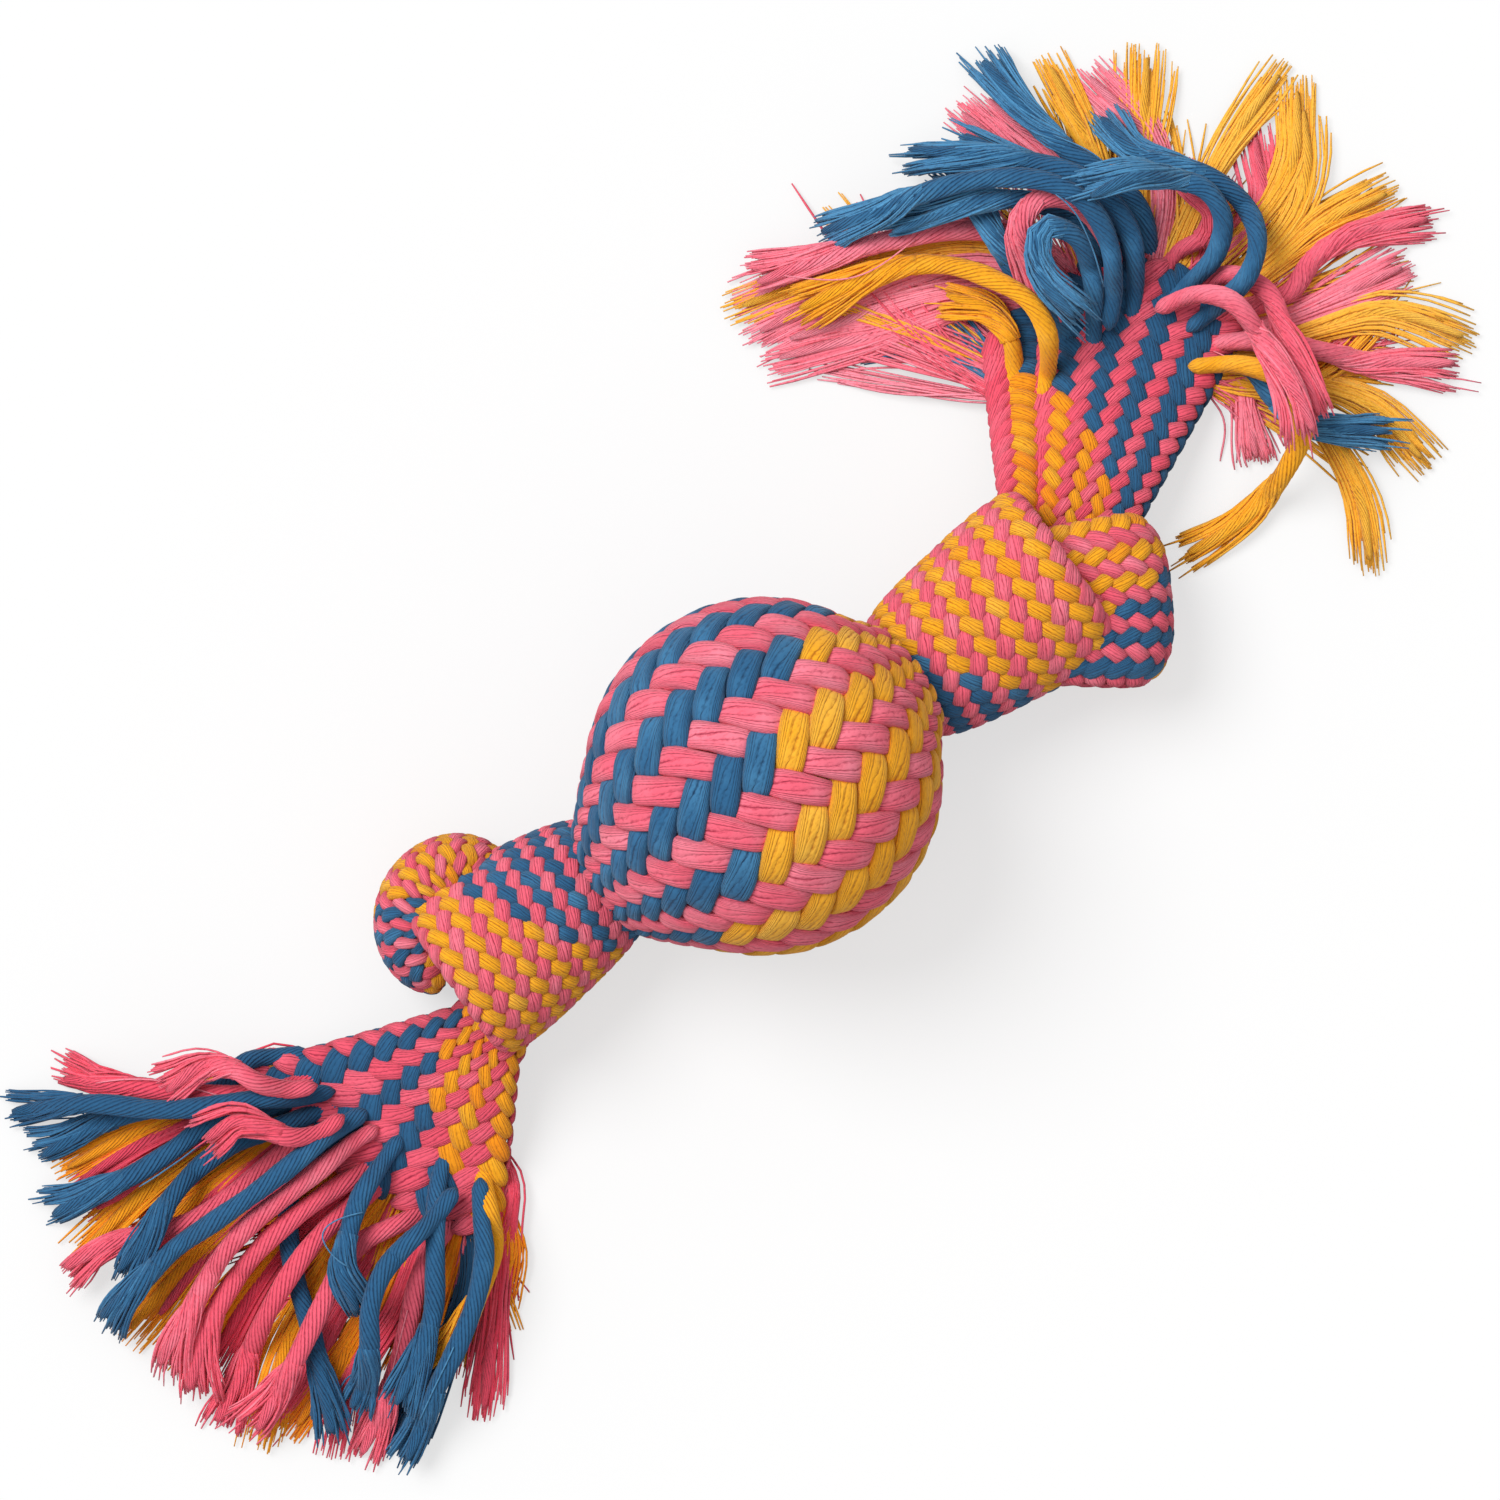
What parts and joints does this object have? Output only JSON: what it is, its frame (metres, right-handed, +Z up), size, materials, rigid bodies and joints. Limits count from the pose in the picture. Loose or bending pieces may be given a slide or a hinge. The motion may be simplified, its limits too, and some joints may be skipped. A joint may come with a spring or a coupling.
{
  "type": "rope dog toy",
  "caption": "Cotton rope tug toy: a ball under a braided cotton cover, a knot on each side of it, flat braided tails and loose frayed tassels.",
  "frame": {"origin": "on the floor, at the middle of the flat that the ball rests on", "axes": "+X along the toy from the left tassel to the right tassel, +Z up from the floor it lies on"},
  "size_m": [0.3443, 0.1638, 0.0715],
  "materials": {
    "braid_cotton": "woven cotton strands, matt",
    "pink_cotton": "soft twisted cotton, matt",
    "blue_cotton": "soft twisted cotton, matt",
    "yellow_cotton": "soft twisted cotton, matt",
    "core_rubber": "moulded rubber, matt"
  },
  "bodies": {
    "ball": {"core_ball": "core_rubber", "ball_cover": "braid_cotton"},
    "left_knot": {"left_knot": "braid_cotton"},
    "left_tail": {"left_tail": "braid_cotton", "left_strand_01": "pink_cotton", "left_strand_02": "blue_cotton", "left_strand_03": "blue_cotton", "left_strand_04": "blue_cotton", "left_strand_05": "blue_cotton", "left_strand_06": "pink_cotton", "left_strand_07": "pink_cotton", "left_strand_08": "pink_cotton", "left_strand_09": "pink_cotton", "left_strand_10": "pink_cotton", "left_strand_11": "pink_cotton", "left_strand_12": "yellow_cotton", "left_strand_13": "blue_cotton", "left_strand_14": "blue_cotton", "left_strand_15": "blue_cotton", "left_strand_16": "blue_cotton", "left_strand_17": "blue_cotton", "left_strand_18": "blue_cotton", "left_strand_19": "pink_cotton", "left_strand_20": "pink_cotton"},
    "right_knot": {"right_knot": "braid_cotton"},
    "right_tail": {"right_tail": "braid_cotton", "right_strand_01": "blue_cotton", "right_strand_02": "pink_cotton", "right_strand_03": "pink_cotton", "right_strand_04": "yellow_cotton", "right_strand_05": "yellow_cotton", "right_strand_06": "pink_cotton", "right_strand_07": "blue_cotton", "right_strand_08": "blue_cotton", "right_strand_09": "blue_cotton", "right_strand_10": "pink_cotton", "right_strand_11": "pink_cotton", "right_strand_12": "blue_cotton", "right_strand_13": "yellow_cotton", "right_strand_14": "blue_cotton", "right_strand_15": "pink_cotton", "right_strand_16": "blue_cotton", "right_strand_17": "blue_cotton", "right_strand_18": "blue_cotton", "right_strand_19": "blue_cotton", "right_strand_20": "pink_cotton"}
  },
  "joints": [
    {"name": "left_neck", "type": "hinge", "parent": "ball", "child": "left_knot", "pos_m": [0, 0, 0.0355], "axis": [0, 0, 1], "range_deg": [-15, 15]},
    {"name": "left_tail_bend", "type": "hinge", "parent": "left_knot", "child": "left_tail", "pos_m": [-0.07745, -0.01114, 0.0125], "axis": [0, 0, 1], "range_deg": [-15, 15]},
    {"name": "right_neck", "type": "hinge", "parent": "ball", "child": "right_knot", "pos_m": [0, 0, 0.0355], "axis": [0, 0, 1], "range_deg": [-15, 15]},
    {"name": "right_tail_bend", "type": "hinge", "parent": "right_knot", "child": "right_tail", "pos_m": [0.07831, 0.00637, 0.0125], "axis": [0, 0, 1], "range_deg": [-15, 15]}
  ]
}
